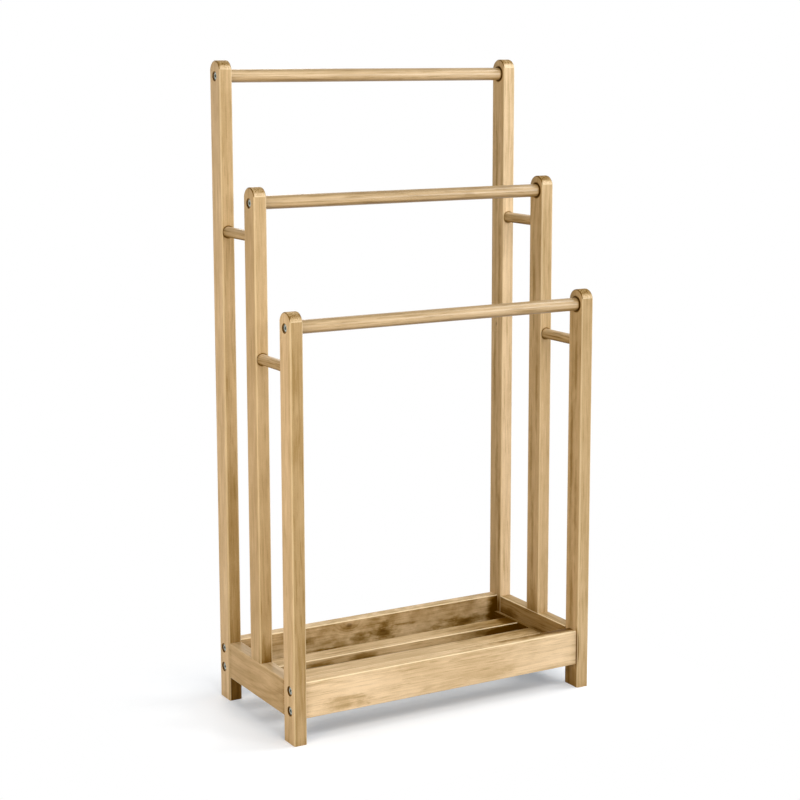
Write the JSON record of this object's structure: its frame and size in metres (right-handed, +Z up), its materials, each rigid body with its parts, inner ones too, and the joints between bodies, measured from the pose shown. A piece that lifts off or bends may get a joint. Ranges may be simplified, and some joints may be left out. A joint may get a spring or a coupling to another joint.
{
  "type": "freestanding towel stand",
  "caption": "Freestanding wooden towel stand: stepped side frames carry round towel bars at rising heights above a low slatted tray.",
  "frame": {"origin": "on the floor, under the centre of the stand's outline", "axes": "+Z up; +X along the towel bars, to the right as seen from the lowest bar's side; -Y is the front, where the lowest bar is"},
  "size_m": [0.455, 0.225, 0.86],
  "materials": {
    "stained_wood": "satin lacquer over a warm honey-brown stain",
    "beech_pin": "raw, glued",
    "zinc_steel": "blue-white zinc plate"
  },
  "bodies": {
    "root": {"post_rear_left": "stained_wood", "post_middle_left": "stained_wood", "post_front_left": "stained_wood", "spacer_dowel_upper_left": "stained_wood", "spacer_dowel_lower_left": "stained_wood", "side_rail_left": "stained_wood", "slat_ledger_left": "stained_wood", "post_rear_right": "stained_wood", "post_middle_right": "stained_wood", "post_front_right": "stained_wood", "spacer_dowel_upper_right": "stained_wood", "spacer_dowel_lower_right": "stained_wood", "side_rail_right": "stained_wood", "slat_ledger_right": "stained_wood", "towel_bar_rear": "stained_wood", "towel_bar_middle": "stained_wood", "towel_bar_front": "stained_wood", "cross_rail_rear": "stained_wood", "cross_rail_front": "stained_wood", "tray_slat_1": "stained_wood", "tray_slat_2": "stained_wood", "tray_slat_3": "stained_wood", "side_rail_dowels_left": "beech_pin", "post_foot_dowels_left": "beech_pin", "side_rail_dowels_right": "beech_pin", "post_foot_dowels_right": "beech_pin", "bar_screws_left": "zinc_steel", "rail_screws_left": "zinc_steel", "slat_screws_left": "zinc_steel", "ledger_screws_left": "zinc_steel", "bar_screws_right": "zinc_steel", "rail_screws_right": "zinc_steel", "slat_screws_right": "zinc_steel", "ledger_screws_right": "zinc_steel"}
  },
  "joints": []
}
